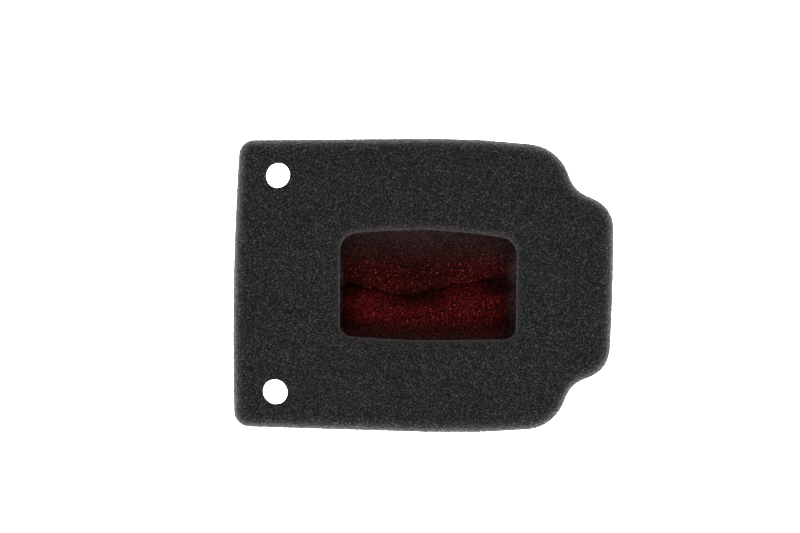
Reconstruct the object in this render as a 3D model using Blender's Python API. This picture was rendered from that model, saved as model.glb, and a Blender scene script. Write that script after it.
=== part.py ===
"""Foam air filter element of a small engine: a flat pad that slips over two studs.

Two black foam sheets and a ring between them make a shallow pocket. The pocket holds a red foam
backing and two red foam lobes, which meet at a crease behind the window in the front sheet.

Metres, +Z up. The pad lies on its rear face, with the origin at the middle of the bottom of its
bounding box. +X runs to the narrow tab, and +Z points out of the windowed front face.
"""

import math

import bmesh
import bpy
from mathutils import Vector

MM = 0.001

# Thickness of each layer, and the gap left between layers that touch
REAR_SHEET_THICKNESS = 4.6 * MM
SPACER_THICKNESS = 4.4 * MM
FRONT_SHEET_THICKNESS = 5.0 * MM
BOND_FILM_THICKNESS = 0.4 * MM
BACKING_THICKNESS = 2.0 * MM
GAP = 0.3 * MM

# Corners of the pad's outline for its +Y half, from the wide end to the tab: x, y, corner radius
HALF_OUTLINE = (
    (-50.0 * MM, 37.85 * MM, 3.9 * MM),  # corner of the wide end
    (15.0 * MM, 39.1 * MM, 230.0 * MM),  # slight crown of the long side
    (36.05 * MM, 37.0 * MM, 11.2 * MM),  # shoulder
    (39.8 * MM, 25.7 * MM, 7.8 * MM),  # neck, which curves inwards
    (50.0 * MM, 21.5 * MM, 7.8 * MM),  # corner of the tab
)
EDGE_ROUND = 3.2 * MM
EDGE_ROUND_STEPS = 4
BOND_FILM_MARGIN = 0.8 * MM

# Stud holes, punched through every layer
STUD_HOLE_DIAMETER = 6.9 * MM
STUD_HOLE_SPACING = 57.4 * MM
STUD_HOLE_X = -39.05 * MM
STUD_HOLE_SIDES = 24

# Corners of the window in the front sheet, whose long sides bow outwards: x, y, corner radius
WINDOW_OUTLINE = (
    (-22.0 * MM, -13.75 * MM, 3.6 * MM),
    (-3.0 * MM, -14.8 * MM, 200.0 * MM),
    (24.85 * MM, -14.05 * MM, 3.2 * MM),
    (24.85 * MM, 12.6 * MM, 4.5 * MM),
    (1.0 * MM, 15.5 * MM, 110.0 * MM),
    (-22.0 * MM, 13.3 * MM, 4.5 * MM),
)

# Cavity in the spacer ring behind the window
CAVITY_X = 1.2 * MM
CAVITY_LENGTH = 63.0 * MM
CAVITY_WIDTH = 48.0 * MM
CAVITY_CORNER = 5.0 * MM

# Red lobes: the crease between them runs at a slight tilt and sags towards -Y
CREASE_Y = 0.6 * MM
CREASE_TILT = 0.03
CREASE_SAG = 3.4 * MM
CREASE_SAG_X = -4.0 * MM
CREASE_SAG_REACH = 17.0 * MM

# Each lobe is rounded down into the crease, level over its ridge, and falls away behind it
UPPER_ROUND_WIDTH, UPPER_ROUND_DEPTH = 3.6 * MM, 2.2 * MM
UPPER_RIDGE, UPPER_FALL_REACH, UPPER_FALL_DEPTH = 4.5 * MM, 14.0 * MM, 2.4 * MM
LOWER_ROUND_WIDTH, LOWER_ROUND_DEPTH = 3.8 * MM, 2.2 * MM
LOWER_RIDGE, LOWER_FALL_REACH, LOWER_FALL_DEPTH = 4.5 * MM, 10.0 * MM, 1.4 * MM
RIDGE_HEIGHT = 0.7 * MM
RIDGE_REACH = 23.0 * MM
RIDGE_FLATNESS = 4
SWELLS = (  # side, or 0 for both lobes, then middle x and y, reach along x and y, height
    (1, -11.0 * MM, 2.5 * MM, 11.0 * MM, 8.0 * MM, 0.7 * MM),
    (1, -0.5 * MM, 5.5 * MM, 8.0 * MM, 8.0 * MM, -0.6 * MM),
    (1, 9.5 * MM, 3.5 * MM, 11.0 * MM, 8.0 * MM, 0.7 * MM),
    (-1, -13.0 * MM, -6.0 * MM, 9.0 * MM, 6.0 * MM, 1.0 * MM),
    (-1, 10.0 * MM, -5.5 * MM, 11.0 * MM, 6.0 * MM, 0.8 * MM),
    (0, -12.5 * MM, -1.6 * MM, 6.0 * MM, 3.0 * MM, 0.9 * MM),
    (0, 10.5 * MM, 0.5 * MM, 8.0 * MM, 3.0 * MM, 0.9 * MM),
    (0, -20.5 * MM, 0.4 * MM, 6.5 * MM, 4.5 * MM, -1.5 * MM),
    (0, -0.5 * MM, -2.8 * MM, 9.5 * MM, 4.0 * MM, -1.7 * MM),
    (0, 20.4 * MM, 1.6 * MM, 9.0 * MM, 5.0 * MM, -2.1 * MM),
    (-1, -23.0 * MM, -5.0 * MM, 5.0 * MM, 9.0 * MM, -1.0 * MM),
    (-1, 25.0 * MM, -5.0 * MM, 6.0 * MM, 9.0 * MM, -1.2 * MM),
)
LOBE_LEAST_THICKNESS = 0.5 * MM
LOBE_STATIONS = 36
LOBE_ROWS = 14
LOBE_ROW_CROWDING = 2  # rows lie closer together towards the crease

ARC_STEP = math.radians(13)
SHARP_ANGLE = math.radians(35)
CUT_OVERSHOOT = 1.0 * MM

# Heights of the layers, worked out from the thicknesses
REAR_BOND_Z = REAR_SHEET_THICKNESS + GAP
SPACER_Z = REAR_BOND_Z + BOND_FILM_THICKNESS + GAP
FRONT_BOND_Z = SPACER_Z + SPACER_THICKNESS + GAP
FRONT_SHEET_Z = FRONT_BOND_Z + BOND_FILM_THICKNESS + GAP
FRONT_FACE_Z = FRONT_SHEET_Z + FRONT_SHEET_THICKNESS
BACKING_Z = REAR_SHEET_THICKNESS + GAP
LOBE_Z = BACKING_Z + BACKING_THICKNESS + GAP
LOBE_TOP_Z = FRONT_SHEET_Z - GAP


def clear_scene():
    for obj in list(bpy.data.objects):
        bpy.data.objects.remove(obj, do_unlink=True)


def material(name, colour, roughness, metallic=0.0):
    made = bpy.data.materials.new(name)
    made.use_nodes = True
    shader = made.node_tree.nodes["Principled BSDF"]
    shader.inputs["Base Color"].default_value = (*colour, 1.0)
    shader.inputs["Roughness"].default_value = roughness
    shader.inputs["Metallic"].default_value = metallic
    return made


# Outlines


def moved_in(corners, inset):
    """The corners of a closed outline whose sides are all moved in by inset, arcs kept concentric."""
    moved = []
    for i, (x, y, radius) in enumerate(corners):
        here = Vector((x, y))
        before = (here - Vector(corners[i - 1][:2])).normalized()
        after = (Vector(corners[(i + 1) % len(corners)][:2]) - here).normalized()
        turn = before.cross(after)
        half = math.acos(max(-1.0, min(1.0, before.dot(after)))) / 2
        inward = (after.orthogonal() + before.orthogonal()).normalized()
        shifted = here + inward * inset / math.cos(half)
        moved.append((*shifted, radius - inset if turn > 0 else radius + inset))
    return moved


def rounded_outline(corners):
    """Points round a closed outline that runs anticlockwise, with an arc at each corner."""
    points = []
    for i, (x, y, radius) in enumerate(corners):
        here = Vector((x, y))
        to_before = (Vector(corners[i - 1][:2]) - here).normalized()
        to_after = (Vector(corners[(i + 1) % len(corners)][:2]) - here).normalized()
        half = to_before.angle(to_after) / 2
        centre = here + (to_before + to_after).normalized() * radius / math.sin(half)
        start = here + to_before * radius / math.tan(half) - centre
        sweep = math.pi - 2 * half
        steps = max(2, math.ceil(sweep / ARC_STEP))
        if to_before.cross(to_after) > 0:
            sweep = -sweep
        for step in range(steps + 1):
            angle = sweep * step / steps
            turned = (
                start.x * math.cos(angle) - start.y * math.sin(angle),
                start.x * math.sin(angle) + start.y * math.cos(angle),
            )
            points.append(centre + Vector(turned))
    return points


def pad_corners():
    """The whole pad's corners, anticlockwise: the -Y half from the wide end, then the +Y half back."""
    lower = [(x, -y, radius) for x, y, radius in HALF_OUTLINE]
    return lower + list(reversed(HALF_OUTLINE))


def box_corners(length, width, radius):
    return [
        (CAVITY_X + sx * length / 2, sy * width / 2, radius)
        for sx, sy in ((-1, -1), (1, -1), (1, 1), (-1, 1))
    ]


def circle(x, y, radius):
    return [
        Vector((x + radius * math.cos(a), y + radius * math.sin(a)))
        for a in (2 * math.pi * i / STUD_HOLE_SIDES for i in range(STUD_HOLE_SIDES))
    ]


# Solids


def add_object(name, bm, slot=None):
    bmesh.ops.recalc_face_normals(bm, faces=bm.faces)
    mesh = bpy.data.meshes.new(name)
    bm.to_mesh(mesh)
    bm.free()
    obj = bpy.data.objects.new(name, mesh)
    bpy.context.scene.collection.objects.link(obj)
    if slot:
        mesh.materials.append(slot)
        mesh.shade_smooth()
        mesh.set_sharp_from_angle(angle=SHARP_ANGLE)
    return obj


def stacked(name, levels, slot=None):
    """A solid through outlines stacked in height, each level a list of points and its z."""
    bm = bmesh.new()
    rings = [[bm.verts.new((p.x, p.y, z)) for p in points] for points, z in levels]
    for low, high in zip(rings, rings[1:]):
        for i in range(len(low)):
            j = (i + 1) % len(low)
            bm.faces.new((low[i], low[j], high[j], high[i]))
    bm.faces.new(list(reversed(rings[0])))
    bm.faces.new(rings[-1])
    return add_object(name, bm, slot)


def cut(obj, name, points, low, high):
    """Cuts an upright hole through a solid, past its lowest and highest points."""
    cutter = stacked(name, [(points, low - CUT_OVERSHOOT), (points, high + CUT_OVERSHOOT)])
    cutter.hide_render = True
    cutter.display_type = "WIRE"
    cutter.parent = obj
    boolean = obj.modifiers.new(name, "BOOLEAN")
    boolean.operation = "DIFFERENCE"
    boolean.solver = "EXACT"
    boolean.object = cutter


def cut_stud_holes(obj, low, high, margin=0.0):
    radius = STUD_HOLE_DIAMETER / 2 + margin
    for side, word in ((1, "upper"), (-1, "lower")):
        hole = circle(STUD_HOLE_X, side * STUD_HOLE_SPACING / 2, radius)
        cut(obj, f"{obj.name}_{word}_hole", hole, low, high)


def rounded_profile(height):
    """Inset and height of each level of a sheet whose outer edge is rounded at its top."""
    yield 0.0, 0.0
    for step in range(EDGE_ROUND_STEPS + 1):
        angle = math.pi / 2 * step / EDGE_ROUND_STEPS
        rise = EDGE_ROUND * math.sin(angle)
        yield EDGE_ROUND * (1 - math.cos(angle)), height - EDGE_ROUND + rise


def sheet(name, bottom, thickness, facing, slot):
    """A foam sheet in the pad's outline, its outer edge rounded on the side it faces, 1 up or -1 down."""
    levels = []
    for inset, rise in rounded_profile(thickness):
        z = bottom + rise if facing > 0 else bottom + thickness - rise
        levels.append((rounded_outline(moved_in(pad_corners(), inset)), z))
    obj = stacked(name, levels if facing > 0 else levels[::-1], slot)
    cut_stud_holes(obj, bottom, bottom + thickness)
    return obj


def front_sheet(slot):
    obj = sheet("front_sheet", FRONT_SHEET_Z, FRONT_SHEET_THICKNESS, 1, slot)
    cut(obj, "front_sheet_window", rounded_outline(WINDOW_OUTLINE), FRONT_SHEET_Z, FRONT_FACE_Z)


def rear_sheet(slot):
    sheet("rear_sheet", 0.0, REAR_SHEET_THICKNESS, -1, slot)


def ring(name, bottom, thickness, margin, slot):
    """A layer between the sheets, open at the cavity. margin keeps it back from every edge."""
    outer = rounded_outline(moved_in(pad_corners(), margin))
    obj = stacked(name, [(outer, bottom), (outer, bottom + thickness)], slot)
    cavity = box_corners(
        CAVITY_LENGTH + 2 * margin, CAVITY_WIDTH + 2 * margin, CAVITY_CORNER + margin
    )
    cut(obj, f"{name}_cavity", rounded_outline(cavity), bottom, bottom + thickness)
    cut_stud_holes(obj, bottom, bottom + thickness, margin)


def inner_backing(slot):
    corners = moved_in(box_corners(CAVITY_LENGTH, CAVITY_WIDTH, CAVITY_CORNER), GAP)
    points = rounded_outline(corners)
    stacked("inner_backing", [(points, BACKING_Z), (points, BACKING_Z + BACKING_THICKNESS)], slot)


# Red lobes


def hump(distance, reach):
    """1 at distance 0, falling smoothly to 0 at reach."""
    share = min(abs(distance) / reach, 1.0)
    return 0.5 * (1 + math.cos(math.pi * share))


def crease_y(x):
    return CREASE_Y + CREASE_TILT * x - CREASE_SAG * hump(x - CREASE_SAG_X, CREASE_SAG_REACH)


def lobe_top(side, x, y, from_crease):
    """Height of a lobe's top: rounded into the crease, level, and falling behind the ridge."""
    if side > 0:
        round_width, round_depth = UPPER_ROUND_WIDTH, UPPER_ROUND_DEPTH
        ridge, fall_reach, fall_depth = UPPER_RIDGE, UPPER_FALL_REACH, UPPER_FALL_DEPTH
    else:
        round_width, round_depth = LOWER_ROUND_WIDTH, LOWER_ROUND_DEPTH
        ridge, fall_reach, fall_depth = LOWER_RIDGE, LOWER_FALL_REACH, LOWER_FALL_DEPTH
    rise = RIDGE_HEIGHT * (1 - min(abs(x) / RIDGE_REACH, 1.0) ** RIDGE_FLATNESS)
    into_crease = 1 - min(from_crease / round_width, 1.0)
    behind = max(from_crease - ridge, 0.0)
    top = LOBE_TOP_Z + rise - round_depth * into_crease**2 - fall_depth * (1 - hump(behind, fall_reach))
    for swell_side, at_x, at_y, reach_x, reach_y, height in SWELLS:
        if swell_side in (0, side):
            top += height * hump(x - at_x, reach_x) * hump(y - at_y, reach_y)
    return max(top, LOBE_Z + LOBE_LEAST_THICKNESS)


def lobe(name, side, slot):
    """One lobe, on the +Y side of the crease for side 1 and on the -Y side for side -1."""
    bm = bmesh.new()
    half_length = CAVITY_LENGTH / 2 - GAP
    corner = CAVITY_CORNER - GAP
    grid = []
    for i in range(LOBE_STATIONS + 1):
        from_middle = -half_length * math.cos(math.pi * i / LOBE_STATIONS)
        x = CAVITY_X + from_middle
        into_corner = max(0.0, abs(from_middle) - (half_length - corner))
        pulled_in = corner - math.sqrt(max(0.0, corner**2 - into_corner**2))
        inner_y = crease_y(x) + side * GAP
        outer_y = side * (CAVITY_WIDTH / 2 - GAP - pulled_in)
        row = []
        for j in range(LOBE_ROWS + 1):
            y = inner_y + (outer_y - inner_y) * (j / LOBE_ROWS) ** LOBE_ROW_CROWDING
            row.append(bm.verts.new((x, y, lobe_top(side, x, y, abs(y - inner_y)))))
        grid.append(row)
    for here, after in zip(grid, grid[1:]):
        for j in range(LOBE_ROWS):
            bm.faces.new((here[j], after[j], after[j + 1], here[j + 1]))
    rim = [row[0] for row in grid] + grid[-1][1:]
    rim += [row[-1] for row in reversed(grid[:-1])] + grid[0][-2:0:-1]
    foot = [bm.verts.new((v.co.x, v.co.y, LOBE_Z)) for v in rim]
    for i in range(len(rim)):
        j = (i + 1) % len(rim)
        bm.faces.new((rim[i], foot[i], foot[j], rim[j]))
    bm.faces.new(foot)
    add_object(name, bm, slot)


def main():
    clear_scene()
    black_foam = material("black_foam", (0.022, 0.022, 0.023), 0.92)
    ring_foam = material("ring_foam", (0.024, 0.024, 0.025), 0.94)
    red_foam = material("red_foam", (0.130, 0.006, 0.005), 0.85)
    backing_foam = material("backing_foam", (0.105, 0.005, 0.004), 0.88)
    bond_film = material("bond_film", (0.055, 0.048, 0.040), 0.45)

    rear_sheet(black_foam)
    ring("rear_bond_film", REAR_BOND_Z, BOND_FILM_THICKNESS, BOND_FILM_MARGIN, bond_film)
    ring("spacer_ring", SPACER_Z, SPACER_THICKNESS, 0.0, ring_foam)
    ring("front_bond_film", FRONT_BOND_Z, BOND_FILM_THICKNESS, BOND_FILM_MARGIN, bond_film)
    front_sheet(black_foam)
    inner_backing(backing_foam)
    lobe("upper_inner_lobe", 1, red_foam)
    lobe("lower_inner_lobe", -1, red_foam)


main()
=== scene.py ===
"""Looks of the foam air filter element: every foam layer and lobe as a fine, soft, cellular piece.

Metres, in the CAD model's frame: the pad lies on its rear face, +X runs to the tab, +Z comes out
of the windowed front face. The stage is a light table, so the pad is seen against plain white.
"""

import math

import bmesh
import bpy
import numpy as np
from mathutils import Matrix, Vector, noise


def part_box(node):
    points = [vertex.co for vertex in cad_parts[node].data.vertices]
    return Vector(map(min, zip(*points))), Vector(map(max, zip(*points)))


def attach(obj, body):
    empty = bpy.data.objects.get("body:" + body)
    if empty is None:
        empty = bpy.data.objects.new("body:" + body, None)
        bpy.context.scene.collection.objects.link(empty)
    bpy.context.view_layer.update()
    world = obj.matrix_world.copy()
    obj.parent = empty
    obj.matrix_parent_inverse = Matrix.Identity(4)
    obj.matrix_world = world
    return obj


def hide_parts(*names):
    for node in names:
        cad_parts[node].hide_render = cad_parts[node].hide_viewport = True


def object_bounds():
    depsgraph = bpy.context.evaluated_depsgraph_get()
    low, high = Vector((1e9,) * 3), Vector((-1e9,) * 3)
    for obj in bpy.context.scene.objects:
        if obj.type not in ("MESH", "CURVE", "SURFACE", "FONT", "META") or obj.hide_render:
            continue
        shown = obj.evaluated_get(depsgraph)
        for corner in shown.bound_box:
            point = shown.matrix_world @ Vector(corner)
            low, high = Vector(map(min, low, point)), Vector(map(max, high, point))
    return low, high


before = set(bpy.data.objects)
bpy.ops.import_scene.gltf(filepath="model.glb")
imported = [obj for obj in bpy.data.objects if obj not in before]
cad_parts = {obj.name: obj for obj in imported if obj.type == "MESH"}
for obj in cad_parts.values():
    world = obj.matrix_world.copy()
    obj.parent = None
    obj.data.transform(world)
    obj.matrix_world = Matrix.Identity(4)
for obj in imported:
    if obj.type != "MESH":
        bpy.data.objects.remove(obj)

cad_low, cad_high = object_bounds()

MM = 0.001
BODY = "root"
UPPER, LOWER, BOTH = 1, -1, 0

# Camera: straight above, far enough to flatten the perspective as a long lens does
CAMERA_DISTANCE = 2.0
VIEW_WIDTH = 211.4 * MM
CAMERA_X = -6.05 * MM
CAMERA_Y = 4.90 * MM
CAMERA_ROLL = math.radians(0.64)
CAMERA_CLIP_END = 20.0
SENSOR = 36.0

# Light table and studio
FLOOR_HALF_WIDTH = 5.0
FLOOR_DROP = 0.05 * MM
FLOOR_COLOUR, FLOOR_STRENGTH, FLOOR_ROUGHNESS = (0.92, 0.92, 0.92), 6.0, 0.9
WORLD_STRENGTH = 0.25
SOFTBOX_DISTANCE, SOFTBOX_HEIGHT, SOFTBOX_SIZE = 1.0, 0.7, 0.7
SOFTBOXES = (  # name, angle round the pad from +X, power
    ("front", -90, 10.4),
    ("back", 90, 2.6),
    ("left", 180, 2.7),
    ("right", 0, 2.7),
)

# The soft pad at rest: it leans a little, its ends are crowned, and its tab lies towards -Y
LEAN_MIDDLE, LEAN_TO_WIDE_END, LEAN_TO_TAB = -0.009, 0.017, 0.026
WIDE_END_BOW = 0.97 * MM
TAB_CROWN, TAB_BOW = 0.28 * MM, 1.43 * MM
TAB_DROP = 0.30 * MM

# Sampling of the foam surfaces, and how far the layers reach into the gaps between them
SHEET_VOXEL = 0.42 * MM
RING_VOXEL = 0.45 * MM
LOBE_STEP = 0.24 * MM
LAYER_REACH = 0.25 * MM
WELD_DISTANCE = 0.002 * MM
SMOOTHING, SMOOTH_ROUNDS = 0.5, 3

# Relief of the foam's cells: STRUT_LEVEL of each roughness stands out, and the rest sinks in
SHEET_CELL, SHEET_ROUGHNESS, SIDE_ROUGHNESS = 0.8 * MM, 0.10 * MM, 0.35 * MM
LOBE_CELL, LOBE_ROUGHNESS = 0.8 * MM, 0.14 * MM
STRUT_LEVEL = 0.3

# Window rim: rounded, and given a painted highlight, most along the long sides
WINDOW_ROUND = 1.9 * MM
RIM_BLEND = 0.2 * MM
TOP_FACE_TOLERANCE = 0.01 * MM
OUTLINE_DIGITS = 6
RIM_HIGHLIGHT = "rim_painted_highlight"
RIM_HIGHLIGHT_PLACE, RIM_HIGHLIGHT_REACH, RIM_HIGHLIGHT_DEPTH = 0.1 * MM, 1.5 * MM, 2.5 * MM
RIM_HIGHLIGHT_AT_ENDS, RIM_HIGHLIGHT_AT_SIDES = 0.10, 0.70

# Adhesive films: cut into strips, whose edges creep in and out
FILM_STEP = 1.5 * MM
FILM_CREEP = 0.35 * MM
FILM_CREEP_LENGTH = 4.0 * MM
CUT_DISTANCE = 0.001 * MM
FILM_SHARP_ANGLE = math.radians(40)

# Red lobes: the crease between them runs at a slight tilt and sags towards -Y
CREASE_Y = 0.6 * MM
CREASE_TILT = 0.03
CREASE_SAG = 3.4 * MM
CREASE_SAG_X = -4.0 * MM
CREASE_SAG_REACH = 17.0 * MM
CREASE_WAVER = 0.25 * MM
CREASE_WAVES = (2.3 * MM, 1.1 * MM)
CREASE_HALF_GAP = 0.04 * MM
LOBE_CORNER = 4.7 * MM
LOBE_CLEARANCE = 0.05 * MM
LOBE_LEAST_THICKNESS = 0.5 * MM
LOBE_SHARP_ANGLE = math.radians(60)

# Each lobe is rounded down into the crease, level over its ridge, and falls away behind it
UPPER_ROUND_WIDTH, UPPER_ROUND_DEPTH = 3.6 * MM, 2.2 * MM
UPPER_RIDGE, UPPER_FALL_REACH, UPPER_FALL_DEPTH = 4.5 * MM, 14.0 * MM, 2.4 * MM
LOWER_ROUND_WIDTH, LOWER_ROUND_DEPTH = 3.8 * MM, 2.2 * MM
LOWER_RIDGE, LOWER_FALL_REACH, LOWER_FALL_DEPTH = 4.5 * MM, 10.0 * MM, 1.4 * MM
RIDGE_HEIGHT = 0.7 * MM
RIDGE_REACH = 23.0 * MM
RIDGE_FLATNESS = 4
SWELLS = (  # lobe or lobes, middle x and y, reach along x and y, height
    (UPPER, -11.0 * MM, 2.5 * MM, 11.0 * MM, 8.0 * MM, 0.7 * MM),
    (UPPER, -0.5 * MM, 5.5 * MM, 8.0 * MM, 8.0 * MM, -0.6 * MM),
    (UPPER, 9.5 * MM, 3.5 * MM, 11.0 * MM, 8.0 * MM, 0.7 * MM),
    (LOWER, -13.0 * MM, -6.0 * MM, 9.0 * MM, 6.0 * MM, 1.0 * MM),
    (LOWER, 10.0 * MM, -5.5 * MM, 11.0 * MM, 6.0 * MM, 0.8 * MM),
    (BOTH, -12.5 * MM, -1.6 * MM, 6.0 * MM, 3.0 * MM, 0.9 * MM),
    (BOTH, 10.5 * MM, 0.5 * MM, 8.0 * MM, 3.0 * MM, 0.9 * MM),
    (BOTH, -20.5 * MM, 0.4 * MM, 6.5 * MM, 4.5 * MM, -1.5 * MM),
    (BOTH, -0.5 * MM, -2.8 * MM, 9.5 * MM, 4.0 * MM, -1.7 * MM),
    (BOTH, 20.4 * MM, 1.6 * MM, 9.0 * MM, 5.0 * MM, -2.1 * MM),
    (LOWER, -23.0 * MM, -5.0 * MM, 5.0 * MM, 9.0 * MM, -1.0 * MM),
    (LOWER, 25.0 * MM, -5.0 * MM, 6.0 * MM, 9.0 * MM, -1.2 * MM),
)

# Foam material: the net of struts fades from full to none over these shares of a cell
NET_FULL, NET_GONE = 0.02, 0.22
FINE_CELL, FINE_GRAIN = 0.75 * MM, 0.18 * MM
COARSE_CELL, COARSE_GRAIN = 0.9 * MM, 0.2 * MM
GRAIN_POWER = 5.0
LIT_OFF_STRUT, LIT_DULL_GRAIN = 0.4, 0.04
# grain of the colours laid over the foam: painted shade, painted highlight and the end grey
OVERLAY_DULL_GRAIN, OVERLAY_BRIGHT_GRAIN = 0.4, 2.2
BLOTCH_SCALE, BLOTCH_DETAIL = 140.0, 2.0
BLOTCH_DARK, BLOTCH_LIGHT = 0.85, 1.15
FOAM_BUMP, FOAM_BUMP_HEIGHT = 0.6, 0.10 * MM
FOAM_ROUGHNESS, SHEEN_ROUGHNESS = 0.88, 0.45

# Black foam colours
BLACK_PORE = (0.002, 0.002, 0.0021)
BLACK_STRUT = (0.150, 0.147, 0.154)
RING_STRUT = (0.145, 0.142, 0.149)
# painted highlight for the window's rim, tinted red as painted bounce light from the red foam
RIM_HIGHLIGHT_COLOUR = (0.100, 0.066, 0.066)

# Red foam colours; the upper lobe's colour is darkened as painted shade, the lower one's lightened a
# little as painted light
RED_PORE = (0.004, 0.0009, 0.0008)
RED_STRUT = (0.330, 0.015, 0.014)
UPPER_PAINTED_SHADE, LOWER_PAINTED_LIGHT = 0.62, 1.08
# painted glints: a share of the red grains take a bright pinkish colour
RED_PAINTED_GLINTS = (0.018, (0.60, 0.12, 0.10))
RED_GLOSS = 0.03
BACKING_PORE = (0.003, 0.0006, 0.0005)
BACKING_STRUT = (0.250, 0.009, 0.008)
# painted shade: the red darkens towards the window's ends, where its end walls shade the lobes
PAINTED_END_SHADE = (1.4 * MM, 17.0 * MM, 22.0 * MM, 0.55)
RED_PAINTED_RIM_SHADES = (  # painted shade under the window's long rims: the red turns darker and greyer towards them
    ((0.074, 0.052, 0.051), 0.0 * MM, 15.5 * MM, 2.6),
    ((0.056, 0.028, 0.027), -8.0 * MM, -15.0 * MM, 2.0),
)
# painted shade: the colour that darkens the crease's hollows
PAINTED_HOLLOW_SHADE = (0.006, 0.004, 0.004)
# grey colour laid at the window's ends, darkening the red there
END_GREY = (0.070, 0.056, 0.056)
RED_SHADE_AND_GREY_POOLS = (  # painted shade in the hollows of the crease and the upper lobe; grey and darker at the window's ends
    (-19.5 * MM, 0.0 * MM, 7.5 * MM, 3.6 * MM, 0.35, PAINTED_HOLLOW_SHADE),
    (-3.6 * MM, -3.1 * MM, 5.5 * MM, 2.6 * MM, 0.50, PAINTED_HOLLOW_SHADE),
    (2.4 * MM, -2.0 * MM, 5.0 * MM, 4.2 * MM, 0.60, PAINTED_HOLLOW_SHADE),
    (19.5 * MM, 0.3 * MM, 7.0 * MM, 4.0 * MM, 0.55, PAINTED_HOLLOW_SHADE),
    (-1.0 * MM, 5.0 * MM, 8.0 * MM, 7.5 * MM, 0.30, PAINTED_HOLLOW_SHADE),
    (25.0 * MM, -1.0 * MM, 3.6 * MM, 20.0 * MM, 0.55, END_GREY),
    (-22.5 * MM, -1.0 * MM, 2.2 * MM, 20.0 * MM, 0.50, END_GREY),
)
POOL_WANDER, POOL_WANDER_SCALE, POOL_WANDER_DETAIL = 1.2 * MM, 500.0, 3.0
POOL_FULL = 0.2

# Adhesive: a cloudy amber, thin and thick in places
FILM_AMBER = (0.055, 0.045, 0.030)
FILM_THIN, FILM_THICK = 0.6, 1.5
CLOUD_SCALE, CLOUD_DETAIL = 400.0, 4.0
CLOUD_LOW, CLOUD_HIGH = 0.3, 0.7
FILM_SMOOTHEST, FILM_ROUGHEST = 0.25, 0.5
FILM_BUMP, FILM_BUMP_HEIGHT = 0.4, 0.1 * MM


# Meshes


def add_piece(name, mesh, material, replaces):
    obj = bpy.data.objects.new(name, mesh)
    bpy.context.scene.collection.objects.link(obj)
    mesh.materials.clear()
    mesh.materials.append(material)
    mesh.shade_smooth()
    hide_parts(replaces)
    return obj


def coordinates(mesh):
    flat = np.empty(len(mesh.vertices) * 3, np.float32)
    mesh.vertices.foreach_get("co", flat)
    return flat.reshape(-1, 3).astype(float)


def set_coordinates(mesh, points):
    mesh.vertices.foreach_set("co", points.astype(np.float32).ravel())
    mesh.update()


def welded_copy(node):
    """A copy of a CAD node's mesh with the seams between its shading groups closed."""
    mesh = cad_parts[node].data.copy()
    bm = bmesh.new()
    bm.from_mesh(mesh)
    bmesh.ops.remove_doubles(bm, verts=bm.verts, dist=WELD_DISTANCE)
    bm.to_mesh(mesh)
    bm.free()
    return mesh


def evaluated(mesh, name, modifiers):
    """The mesh after a list of (type, settings) modifiers, as a new mesh."""
    obj = bpy.data.objects.new(name, mesh)
    bpy.context.scene.collection.objects.link(obj)
    for kind, settings in modifiers:
        modifier = obj.modifiers.new(kind.lower(), kind)
        for key, value in settings.items():
            setattr(modifier, key, value)
    graph = bpy.context.evaluated_depsgraph_get()
    made = bpy.data.meshes.new_from_object(obj.evaluated_get(graph))
    made.name = name
    bpy.data.objects.remove(obj)
    bpy.data.meshes.remove(mesh)
    return made


def struts(points, cell):
    """How far the foam stands out at each point: raised between its cells, sunk inside them."""
    relief = np.empty(len(points))
    for i, point in enumerate(points):
        nearest = noise.voronoi(point / cell)[0]
        relief[i] = STRUT_LEVEL - (nearest[1] - nearest[0])
    return relief


def roughen(mesh, cell, depth, side_depth):
    """Raises the struts of a foam layer; a face that stands upright takes side_depth as well."""
    points = coordinates(mesh)
    normals = np.empty(len(points) * 3, np.float32)
    mesh.vertex_normals.foreach_get("vector", normals)
    normals = normals.reshape(-1, 3)
    upright = 1 - np.abs(normals[:, 2])
    out = struts(points, cell) * (depth + side_depth * upright)
    set_coordinates(mesh, points + normals * out[:, None])


def leaned(points):
    """The points moved to where they lie on the soft pad at rest, more so towards its ends."""
    x, y = points[:, 0], points[:, 1]
    to_end = (x / cad_high.x) ** 2
    to_side = (y / cad_high.y) ** 2
    at_tab = x > 0
    lean = LEAN_MIDDLE + np.where(at_tab, LEAN_TO_TAB, LEAN_TO_WIDE_END) * to_end
    crown = np.where(at_tab, TAB_CROWN - TAB_BOW * to_side, WIDE_END_BOW * to_side)
    moved = points.copy()
    moved[:, 0] += lean * y + crown * to_end
    moved[:, 1] -= np.where(at_tab, TAB_DROP, 0.0) * to_end
    return moved


# Window rim


def hump(distance, reach):
    """1 at distance 0, falling smoothly to 0 at reach."""
    share = np.minimum(np.abs(distance) / reach, 1.0)
    return 0.5 * (1 + np.cos(math.pi * share))


def window_outline():
    """Points round the window's edge in the front sheet's top face, in order.

    They are the face's corners within a lobe's length and half as far to the sides, which leaves
    out the stud holes and the outer edge.
    """
    low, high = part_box("upper_inner_lobe")
    middle = (low.x + high.x) / 2
    reach = (high.x - low.x) / 2
    found = {
        (round(v.co.x, OUTLINE_DIGITS), round(v.co.y, OUTLINE_DIGITS))
        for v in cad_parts["front_sheet"].data.vertices
        if v.co.z > cad_high.z - TOP_FACE_TOLERANCE
        and abs(v.co.x - middle) < reach
        and abs(v.co.y) < reach / 2
    }
    return np.array(sorted(found, key=lambda p: math.atan2(p[1], p[0] - middle)))


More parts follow.
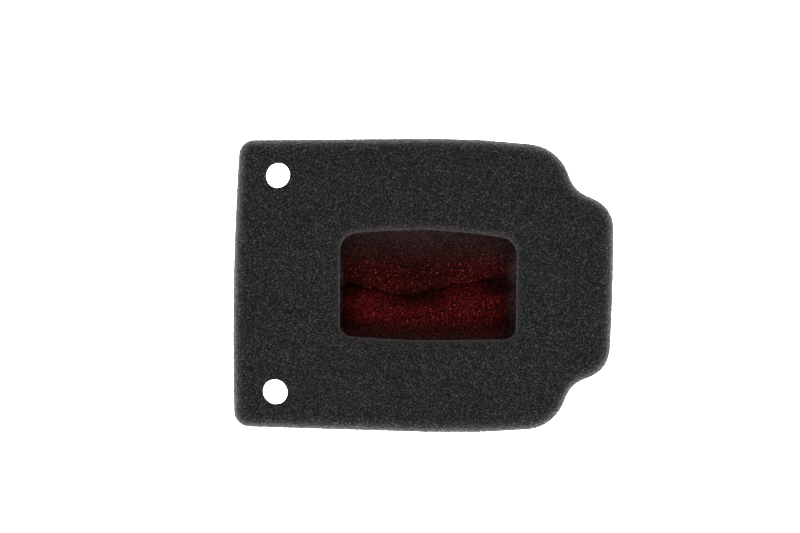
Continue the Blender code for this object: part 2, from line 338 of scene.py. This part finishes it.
def from_outline(outline, places):
    """How far each place lies outside a closed anticlockwise outline, and the unit way out."""
    least = np.full(len(places), np.inf)
    gap = np.zeros(len(places))
    way = np.zeros((len(places), 2))
    for start, end in zip(outline, np.roll(outline, -1, axis=0)):
        along = end - start
        outward = np.array((along[1], -along[0])) / np.hypot(*along)
        share = np.clip((places - start) @ along / (along @ along), 0.0, 1.0)
        offset = places - start - share[:, None] * along
        distance = np.hypot(*offset.T)
        side = np.sign(offset @ outward)
        nearer = distance < least
        least[nearer] = distance[nearer]
        gap[nearer] = (distance * side)[nearer]
        way[nearer] = (offset * side[:, None] + outward * RIM_BLEND)[nearer]
    return gap, way / np.hypot(*way.T)[:, None]


def soften_rim(points, outline, top, radius):
    """Rounds the upright edge that stands on an outline: its corner moves onto a quarter circle."""
    gap, way = from_outline(outline, points[:, :2])
    across = radius - gap
    up = points[:, 2] - (top - radius)
    reach = np.hypot(across, up)
    pull = np.where((across > 0) & (up > 0), 1 - radius / np.maximum(reach, radius), 0.0)
    points[:, :2] += way * (across * pull)[:, None]
    points[:, 2] -= up * pull
    return points


def paint_rim_highlight(mesh, outline, top):
    """Stores how much painted highlight each vertex takes: most on the rim of the window's long
    sides.
    """
    points = coordinates(mesh)
    gap, way = from_outline(outline, points[:, :2])
    near_top = np.clip(1 - (top - points[:, 2]) / RIM_HIGHLIGHT_DEPTH, 0, 1)
    rim_light = hump(gap - RIM_HIGHLIGHT_PLACE, RIM_HIGHLIGHT_REACH) * near_top
    rim_light *= RIM_HIGHLIGHT_AT_ENDS + (RIM_HIGHLIGHT_AT_SIDES - RIM_HIGHLIGHT_AT_ENDS) * np.abs(way[:, 1])
    stored = mesh.attributes.new(RIM_HIGHLIGHT, "FLOAT", "POINT")
    stored.data.foreach_set("value", rim_light.astype(np.float32))


# Red lobes


def crease_y(x):
    waver = CREASE_WAVER * sum(np.sin(x / length) for length in CREASE_WAVES)
    return CREASE_Y + CREASE_TILT * x - CREASE_SAG * hump(x - CREASE_SAG_X, CREASE_SAG_REACH) + waver


def lobe_top(side, x, y, from_crease):
    """Height of a lobe's top: rounded into the crease, level on the ridge, falling behind it."""
    if side == UPPER:
        round_width, round_depth = UPPER_ROUND_WIDTH, UPPER_ROUND_DEPTH
        ridge, fall_reach, fall_depth = UPPER_RIDGE, UPPER_FALL_REACH, UPPER_FALL_DEPTH
    else:
        round_width, round_depth = LOWER_ROUND_WIDTH, LOWER_ROUND_DEPTH
        ridge, fall_reach, fall_depth = LOWER_RIDGE, LOWER_FALL_REACH, LOWER_FALL_DEPTH
    rise = RIDGE_HEIGHT * (1 - np.minimum(np.abs(x) / RIDGE_REACH, 1.0) ** RIDGE_FLATNESS)
    into_crease = 1 - np.minimum(from_crease / round_width, 1.0)
    behind = np.maximum(from_crease - ridge, 0.0)
    top = rise - round_depth * into_crease**2 - fall_depth * (1 - hump(behind, fall_reach))
    for swell_side, at_x, at_y, reach_x, reach_y, height in SWELLS:
        if swell_side in (BOTH, side):
            top = top + height * hump(x - at_x, reach_x) * hump(y - at_y, reach_y)
    return top


def lobe_mesh(name, node, side):
    """A fine closed mesh in the CAD lobe's box, its top from lobe_top() and its foot flat.

    The top is a grid of columns along the crease and rows away from it.
    """
    low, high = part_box(node)
    columns = round((high.x - low.x) / LOBE_STEP)
    rows = round((high.y - low.y) / LOBE_STEP)
    along = np.linspace(low.x, high.x, columns + 1)[:, None]
    across = np.linspace(0, 1, rows + 1)[None, :]
    inner = crease_y(along) + side * CREASE_HALF_GAP
    outer = high.y if side == UPPER else low.y
    into_corner = np.maximum(0, LOBE_CORNER - np.minimum(along - low.x, high.x - along))
    outer = outer - side * (LOBE_CORNER - np.sqrt(LOBE_CORNER**2 - into_corner**2))
    y = inner + (outer - inner) * across
    x = along + 0 * y
    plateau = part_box("front_sheet")[0].z - LAYER_REACH - LOBE_CLEARANCE
    z = np.maximum(plateau + lobe_top(side, x, y, np.abs(y - inner)), low.z + LOBE_LEAST_THICKNESS)
    relief = struts(np.stack((x, y, z), 2).reshape(-1, 3), LOBE_CELL)
    z = z + LOBE_ROUGHNESS * relief.reshape(z.shape)
    bm = bmesh.new()
    top = [[bm.verts.new(p) for p in zip(*line)] for line in zip(x, y, z)]
    for here, after in zip(top, top[1:]):
        for j in range(rows):
            bm.faces.new((here[j], after[j], after[j + 1], here[j + 1]))
    rim = [line[0] for line in top] + top[-1][1:]
    rim += [line[-1] for line in reversed(top[:-1])] + top[0][-2:0:-1]
    foot = [bm.verts.new((v.co.x, v.co.y, low.z)) for v in rim]
    for i in range(len(rim)):
        j = (i + 1) % len(rim)
        bm.faces.new((rim[i], foot[i], foot[j], rim[j]))
    bm.faces.new(foot)
    bmesh.ops.recalc_face_normals(bm, faces=bm.faces)
    mesh = bpy.data.meshes.new(name)
    bm.to_mesh(mesh)
    bm.free()
    return mesh


def lobe(name, node, side, material):
    mesh = lobe_mesh(name, node, side)
    set_coordinates(mesh, leaned(coordinates(mesh)))
    obj = add_piece(name, mesh, material, node)
    mesh.set_sharp_from_angle(angle=LOBE_SHARP_ANGLE)
    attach(obj, BODY)


# Foam layers and films


def foam_layer(name, node, material, voxel, reach_down, reach_up, window=None):
    """A foam layer grown from its CAD solid: finely meshed, its edges soft and its struts raised."""
    mesh = welded_copy(node)
    low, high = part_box(node)
    points = coordinates(mesh)
    share = (points[:, 2] - low.z) / (high.z - low.z)
    points[:, 2] += share * reach_up - (1 - share) * reach_down
    set_coordinates(mesh, points)
    mesh = evaluated(mesh, name, [
        ("REMESH", {"mode": "VOXEL", "voxel_size": voxel}),
        ("SMOOTH", {"factor": SMOOTHING, "iterations": SMOOTH_ROUNDS}),
    ])
    if window is not None:
        set_coordinates(mesh, soften_rim(coordinates(mesh), window, high.z, WINDOW_ROUND))
        paint_rim_highlight(mesh, window, high.z)
    roughen(mesh, SHEET_CELL, SHEET_ROUGHNESS, SIDE_ROUGHNESS)
    set_coordinates(mesh, leaned(coordinates(mesh)))
    obj = add_piece(name, mesh, material, node)
    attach(obj, BODY)


def bond_film(name, node, material):
    """A die-cut ring of adhesive film, whose edges waver a little where the adhesive has crept."""
    low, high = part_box(node)
    mesh = welded_copy(node)
    bm = bmesh.new()
    bm.from_mesh(mesh)
    for axis in (0, 1):
        normal = Vector((1 - axis, axis, 0))
        for i in range(1, math.ceil((high[axis] - low[axis]) / FILM_STEP)):
            place = normal * (low[axis] + i * FILM_STEP)
            everything = bm.verts[:] + bm.edges[:] + bm.faces[:]
            bmesh.ops.bisect_plane(
                bm, geom=everything, dist=CUT_DISTANCE, plane_co=place, plane_no=normal
            )
    bm.normal_update()
    for vert in bm.verts:
        sideways = Vector((vert.normal.x, vert.normal.y, 0))
        creep = FILM_CREEP * noise.noise(vert.co / FILM_CREEP_LENGTH)
        vert.co += sideways * creep
    bm.to_mesh(mesh)
    bm.free()
    set_coordinates(mesh, leaned(coordinates(mesh)))
    obj = add_piece(name, mesh, material, node)
    mesh.set_sharp_from_angle(angle=FILM_SHARP_ANGLE)
    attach(obj, BODY)


# Materials


class Graph:
    """A material's nodes: add() makes one and links or sets its inputs."""

    def __init__(self, name):
        self.material = bpy.data.materials.new(name)
        self.material.use_nodes = True
        self.tree = self.material.node_tree
        self.shader = self.tree.nodes["Principled BSDF"]

    def add(self, kind, inputs=(), **settings):
        node = self.tree.nodes.new("ShaderNode" + kind)
        for key, value in settings.items():
            setattr(node, key, value)
        for key, value in dict(inputs).items():
            self.put(node, key, value)
        return node

    def put(self, node, key, value):
        socket = node.inputs[key]
        if isinstance(value, bpy.types.NodeSocket):
            self.tree.links.new(value, socket)
        else:
            socket.default_value = value


def math_node(graph, operation, first, second=0.0):
    node = graph.add("Math", {0: first, 1: second}, operation=operation)
    return node.outputs[0]


def ramp(graph, value, low, high, to_low=0.0, to_high=1.0):
    node = graph.add("MapRange", {
        "Value": value, "From Min": low, "From Max": high, "To Min": to_low, "To Max": to_high,
    })
    return node.outputs["Result"]


def mix(graph, factor, first, second, blend="MIX"):
    """Two colours mixed. A Mix node has its colours at inputs 6 and 7, and its result at output 2."""
    node = graph.add("Mix", {0: factor, 6: first, 7: second}, data_type="RGBA", blend_type=blend)
    return node.outputs[2]


def multiplied(graph, first, second):
    return mix(graph, 1.0, first, second, "MULTIPLY")


def grey(level):
    return (level, level, level, 1)


def pooled(graph, place, colour, grainy, pools):
    """The colour mixed with that of each pool, painted shade or plain grey, as grainy as the foam,
    whose edges wander.
    """
    wander = graph.add("TexNoise", {
        "Vector": place, "Scale": POOL_WANDER_SCALE, "Detail": POOL_WANDER_DETAIL,
    }).outputs["Color"]
    place = graph.add("VectorMath", {
        0: wander, 1: (POOL_WANDER,) * 3, 2: place,
    }, operation="MULTIPLY_ADD").outputs[0]
    for x, y, reach_x, reach_y, share, pool_colour in pools:
        middle = (x + POOL_WANDER / 2, y + POOL_WANDER / 2, 0)
        offset = graph.add("VectorMath", {0: place, 1: middle}, operation="SUBTRACT").outputs[0]
        scale = (1 / reach_x, 1 / reach_y, 0)
        offset = graph.add("VectorMath", {0: offset, 1: scale}, operation="MULTIPLY").outputs[0]
        distance = graph.add("VectorMath", {0: offset}, operation="LENGTH").outputs["Value"]
        amount = graph.add("MapRange", {
            "Value": distance,
            "From Min": 1.0, "From Max": POOL_FULL,
            "To Min": 0.0, "To Max": share,
        }, interpolation_type="SMOOTHSTEP").outputs["Result"]
        colour = mix(graph, amount, colour, multiplied(graph, grainy, (*pool_colour, 1)))
    return colour


def foam(name, pore, strut, cell, grain, shaded_ends=None, pools=(), rim_shades=(), painted_glints=None,
         painted_rim_colour=None, sheen=0.3, gloss=0.1):
    """Open-cell foam: dark pores in a net of lighter struts, with a grain finer than the pores.

    shaded_ends, painted shade towards the ends, has the X place of the middle, how far from it the
    colour is untouched and where the shade is full, and what is left of the colour there. Each of the
    pools has its middle X and Y, its reach along both, its share in the colour and its own colour.
    Each of the rim_shades, painted shade under a rim, has a colour, the Y places where it starts and
    where it is full, and the power of its rise between them. painted_glints has the share of the
    grains that take a painted glint and their colour. painted_rim_colour is the colour of a rim's
    painted highlight.
    """
    graph = Graph(name)
    place = graph.add("TexCoord").outputs["Object"]
    edges = graph.add("TexVoronoi", {"Vector": place, "Scale": 1 / cell}, feature="DISTANCE_TO_EDGE")
    net = ramp(graph, edges.outputs["Distance"], NET_GONE, NET_FULL)
    grains = graph.add("TexVoronoi", {"Vector": place, "Scale": 1 / grain}, feature="F1")
    random = graph.add("SeparateColor", {"Color": grains.outputs["Color"]})
    spread = math_node(graph, "POWER", random.outputs["Red"], GRAIN_POWER)
    lit_net = ramp(graph, net, 0, 1, LIT_OFF_STRUT, 1.0)
    lit_grain = ramp(graph, spread, 0, 1, LIT_DULL_GRAIN, 1.0)
    lit = math_node(graph, "MULTIPLY", lit_net, lit_grain)
    colour = mix(graph, lit, (*pore, 1), (*strut, 1))
    blotch = graph.add("TexNoise", {
        "Vector": place, "Scale": BLOTCH_SCALE, "Detail": BLOTCH_DETAIL,
    }).outputs["Fac"]
    shade = mix(graph, blotch, grey(BLOTCH_DARK), grey(BLOTCH_LIGHT))
    colour = multiplied(graph, colour, shade)
    # painted glints: a share of the grains take a bright colour
    if painted_glints:
        share, glint_colour = painted_glints
        chance = ramp(graph, random.outputs["Green"], 1 - share, 1.0)
        colour = mix(graph, chance, colour, (*glint_colour, 1))
    grainy = mix(graph, spread, grey(OVERLAY_DULL_GRAIN), grey(OVERLAY_BRIGHT_GRAIN))
    # painted shade: the colour darkens towards both ends
    if shaded_ends:
        middle, unshaded, fully_shaded, left = shaded_ends
        along = graph.add("SeparateXYZ", {"Vector": place}).outputs["X"]
        from_middle = math_node(graph, "SUBTRACT", along, middle)
        from_middle = math_node(graph, "ABSOLUTE", from_middle)
        dark = ramp(graph, from_middle, unshaded, fully_shaded, 1.0, left)
        darker = graph.add("CombineColor", {0: dark, 1: dark, 2: dark}).outputs[0]
        colour = multiplied(graph, colour, darker)
    # pools of painted shade in the hollows, and grey at the ends
    if pools:
        colour = pooled(graph, place, colour, grainy, pools)
    # painted shade under the window's rims: darker and greyer towards them along Y
    for rim_shade_colour, start, full, power in rim_shades:
        height = graph.add("SeparateXYZ", {"Vector": place}).outputs["Y"]
        amount = math_node(graph, "POWER", ramp(graph, height, start, full), power)
        colour = mix(graph, amount, colour, multiplied(graph, grainy, (*rim_shade_colour, 1)))
    # painted highlight on the window's rim, tinted as painted bounce light
    if painted_rim_colour:
        rim_light = graph.add("Attribute", attribute_name=RIM_HIGHLIGHT).outputs["Fac"]
        colour = mix(graph, rim_light, colour, multiplied(graph, grainy, (*painted_rim_colour, 1)))
    relief = math_node(graph, "ADD", net, random.outputs["Blue"])
    bump = graph.add("Bump", {
        "Height": relief, "Strength": FOAM_BUMP, "Distance": FOAM_BUMP_HEIGHT,
    })
    graph.put(graph.shader, "Base Color", colour)
    graph.put(graph.shader, "Roughness", FOAM_ROUGHNESS)
    graph.put(graph.shader, "Specular IOR Level", gloss)
    graph.put(graph.shader, "Sheen Weight", sheen)
    graph.put(graph.shader, "Sheen Roughness", SHEEN_ROUGHNESS)
    graph.put(graph.shader, "Normal", bump.outputs["Normal"])
    return graph.material


def adhesive(name, colour):
    """Amber film adhesive: cloudy, with a glossy skin that is uneven where it was pressed."""
    graph = Graph(name)
    place = graph.add("TexCoord").outputs["Object"]
    cloud = graph.add("TexNoise", {
        "Vector": place, "Scale": CLOUD_SCALE, "Detail": CLOUD_DETAIL,
    }).outputs["Fac"]
    thin = tuple(FILM_THIN * c for c in colour)
    thick = tuple(FILM_THICK * c for c in colour)
    roughness = ramp(graph, cloud, CLOUD_LOW, CLOUD_HIGH, FILM_SMOOTHEST, FILM_ROUGHEST)
    graph.put(graph.shader, "Base Color", mix(graph, cloud, (*thin, 1), (*thick, 1)))
    graph.put(graph.shader, "Roughness", roughness)
    bump = graph.add("Bump", {
        "Height": cloud, "Strength": FILM_BUMP, "Distance": FILM_BUMP_HEIGHT,
    })
    graph.put(graph.shader, "Normal", bump.outputs["Normal"])
    return graph.material


# Stage, light and camera


def glowing(name, colour, strength):
    graph = Graph(name)
    graph.put(graph.shader, "Base Color", (*colour, 1))
    graph.put(graph.shader, "Roughness", FLOOR_ROUGHNESS)
    graph.put(graph.shader, "Emission Color", (*colour, 1))
    graph.put(graph.shader, "Emission Strength", strength)
    return graph.material


def light_table():
    bm = bmesh.new()
    bmesh.ops.create_grid(bm, x_segments=1, y_segments=1, size=FLOOR_HALF_WIDTH)
    mesh = bpy.data.meshes.new("floor")
    bm.to_mesh(mesh)
    bm.free()
    floor = bpy.data.objects.new("floor", mesh)
    bpy.context.scene.collection.objects.link(floor)
    floor.location.z = -FLOOR_DROP
    mesh.materials.append(glowing("pale_floor", FLOOR_COLOUR, FLOOR_STRENGTH))


def softbox(name, angle, power):
    """A square area light beside the pad, turned to face it."""
    light = bpy.data.lights.new(name, "AREA")
    light.shape = "SQUARE"
    light.size = SOFTBOX_SIZE
    light.energy = power
    obj = bpy.data.objects.new(name, light)
    bpy.context.scene.collection.objects.link(obj)
    turn = math.radians(angle)
    place = (SOFTBOX_DISTANCE * math.cos(turn), SOFTBOX_DISTANCE * math.sin(turn), SOFTBOX_HEIGHT)
    obj.location = place
    obj.rotation_euler = (-Vector(place)).to_track_quat("-Z", "Y").to_euler()


def world_light(strength):
    world = bpy.data.worlds.new("studio")
    bpy.context.scene.world = world
    world.use_nodes = True
    back = world.node_tree.nodes["Background"]
    back.inputs["Color"].default_value = (1, 1, 1, 1)
    back.inputs["Strength"].default_value = strength


def camera():
    data = bpy.data.cameras.new("camera")
    data.sensor_width = SENSOR
    data.lens = SENSOR * CAMERA_DISTANCE / VIEW_WIDTH
    data.clip_end = CAMERA_CLIP_END
    obj = bpy.data.objects.new("camera", data)
    bpy.context.scene.collection.objects.link(obj)
    obj.location = (CAMERA_X, CAMERA_Y, cad_high.z + CAMERA_DISTANCE)
    obj.rotation_euler = (0, 0, CAMERA_ROLL)
    bpy.context.scene.camera = obj


def main():
    black = foam("black_foam", BLACK_PORE, BLACK_STRUT, FINE_CELL, FINE_GRAIN,
                 painted_rim_colour=RIM_HIGHLIGHT_COLOUR, sheen=0.25)
    ring = foam("ring_foam", BLACK_PORE, RING_STRUT, COARSE_CELL, COARSE_GRAIN)
    # the lobes share one red foam; the upper copy is darkened as painted shade, the lower one
    # lightened a little as painted light
    upper_red, lower_red = (
        foam(name, RED_PORE, tuple(tone * c for c in RED_STRUT), FINE_CELL, FINE_GRAIN,
             shaded_ends=PAINTED_END_SHADE, pools=RED_SHADE_AND_GREY_POOLS, rim_shades=RED_PAINTED_RIM_SHADES, painted_glints=RED_PAINTED_GLINTS,
             sheen=0.0, gloss=RED_GLOSS)
        for name, tone in (("upper_red_foam_painted_shade", UPPER_PAINTED_SHADE), ("lower_red_foam_painted_light", LOWER_PAINTED_LIGHT))
    )
    backing = foam("backing_foam", BACKING_PORE, BACKING_STRUT, COARSE_CELL, COARSE_GRAIN,
                   sheen=0.0, gloss=RED_GLOSS)
    film = adhesive("bond_film", FILM_AMBER)

    foam_layer("rear_sheet_foam", "rear_sheet", black, SHEET_VOXEL, 0, LAYER_REACH)
    bond_film("rear_film", "rear_bond_film", film)
    foam_layer("spacer_ring_foam", "spacer_ring", ring, RING_VOXEL,
               LAYER_REACH, LAYER_REACH)
    bond_film("front_film", "front_bond_film", film)
    foam_layer("front_sheet_foam", "front_sheet", black, SHEET_VOXEL, LAYER_REACH, 0,
               window=window_outline())
    foam_layer("inner_backing_foam", "inner_backing", backing, RING_VOXEL, 0, 0)
    lobe("upper_lobe_foam", "upper_inner_lobe", UPPER, upper_red)
    lobe("lower_lobe_foam", "lower_inner_lobe", LOWER, lower_red)

    light_table()
    world_light(WORLD_STRENGTH)
    for name, angle, power in SOFTBOXES:
        softbox(name, angle, power)
    camera()
    bpy.context.scene.view_settings.view_transform = "Standard"


main()
